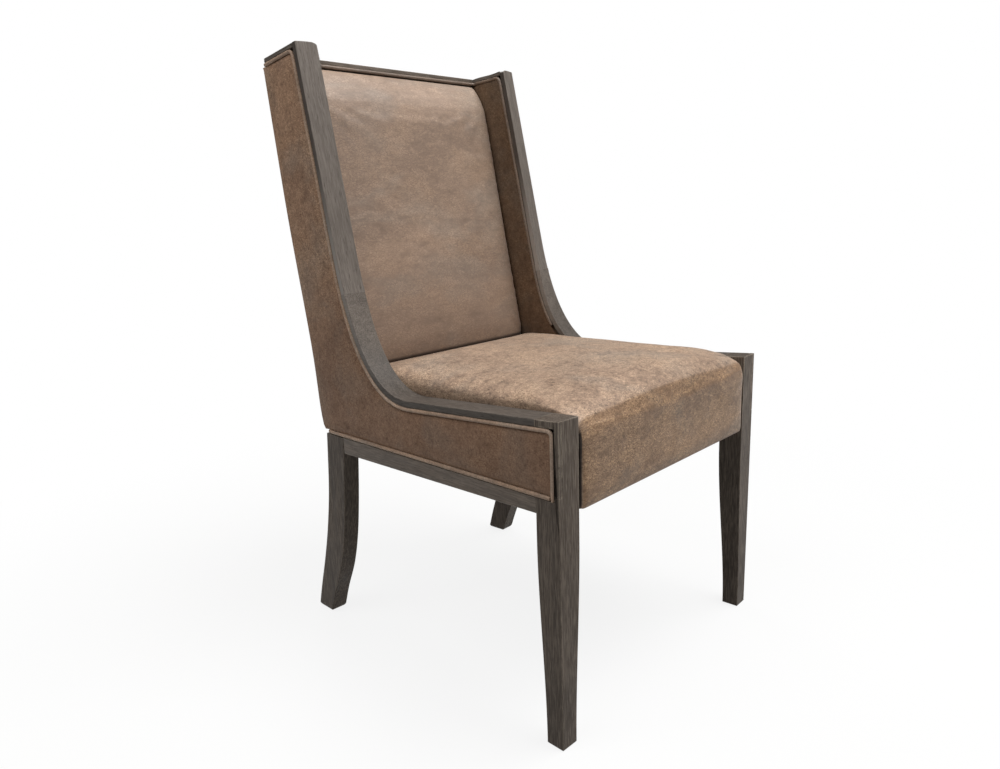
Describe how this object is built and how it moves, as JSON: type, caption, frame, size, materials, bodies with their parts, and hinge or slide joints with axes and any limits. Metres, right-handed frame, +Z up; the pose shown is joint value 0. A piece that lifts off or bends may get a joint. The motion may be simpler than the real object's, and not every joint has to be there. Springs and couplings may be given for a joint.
{
  "type": "parsons chair",
  "caption": "Upholstered parsons chair with show-wood posts and low arms that sweep up into straight wings, tapered front legs and sabre rear legs.",
  "frame": {"origin": "on the floor, midway between left and right and midway between the seat's front and the back's rear", "axes": "+Z up, the chair faces -Y, +X to the sitter's left"},
  "size_m": [0.5484, 0.64, 1],
  "materials": {
    "show_wood": "grey-brown stain, satin, slightly worn arrises",
    "frame_wood": "raw hidden hardwood",
    "cover": "distressed brown leather look, satin",
    "welt": "same cover rolled over a cord",
    "webbing": "woven elastic webbing",
    "dust_cover": "black cambric",
    "glide": "moulded nylon"
  },
  "bodies": {
    "root": {"arm_dowel_lower_left": "frame_wood", "arm_dowel_lower_right": "frame_wood", "arm_dowel_upper_left": "frame_wood", "arm_dowel_upper_right": "frame_wood", "arm_left": "show_wood", "arm_right": "show_wood", "back_cushion": "cover", "back_lower_rail": "frame_wood", "back_strap_1": "webbing", "back_strap_2": "webbing", "back_strap_3": "webbing", "back_top_rail": "show_wood", "bottom_welt": "welt", "dust_cover": "dust_cover", "front_corner_block_left": "frame_wood", "front_corner_block_right": "frame_wood", "front_glide_left": "glide", "front_glide_right": "glide", "front_leg_left": "show_wood", "front_leg_right": "show_wood", "front_rail": "frame_wood", "inner_panel_left": "cover", "inner_panel_right": "cover", "inner_welt": "welt", "outer_panel_left": "cover", "outer_panel_right": "cover", "outside_back": "cover", "post_strip_left": "show_wood", "post_strip_right": "show_wood", "rear_corner_block_left": "frame_wood", "rear_corner_block_right": "frame_wood", "rear_glide_left": "glide", "rear_glide_right": "glide", "rear_leg_left": "show_wood", "rear_leg_right": "show_wood", "rear_rail": "show_wood", "seat_cushion": "cover", "seat_strap_1": "webbing", "seat_strap_2": "webbing", "seat_strap_3": "webbing", "seat_strap_4": "webbing", "side_rail_left": "show_wood", "side_rail_right": "show_wood", "side_welt_left": "welt", "side_welt_right": "welt", "stile_dowel_left": "frame_wood", "stile_dowel_right": "frame_wood", "wing_stile_left": "show_wood", "wing_stile_right": "show_wood", "wing_top_left": "show_wood", "wing_top_right": "show_wood"}
  },
  "joints": []
}
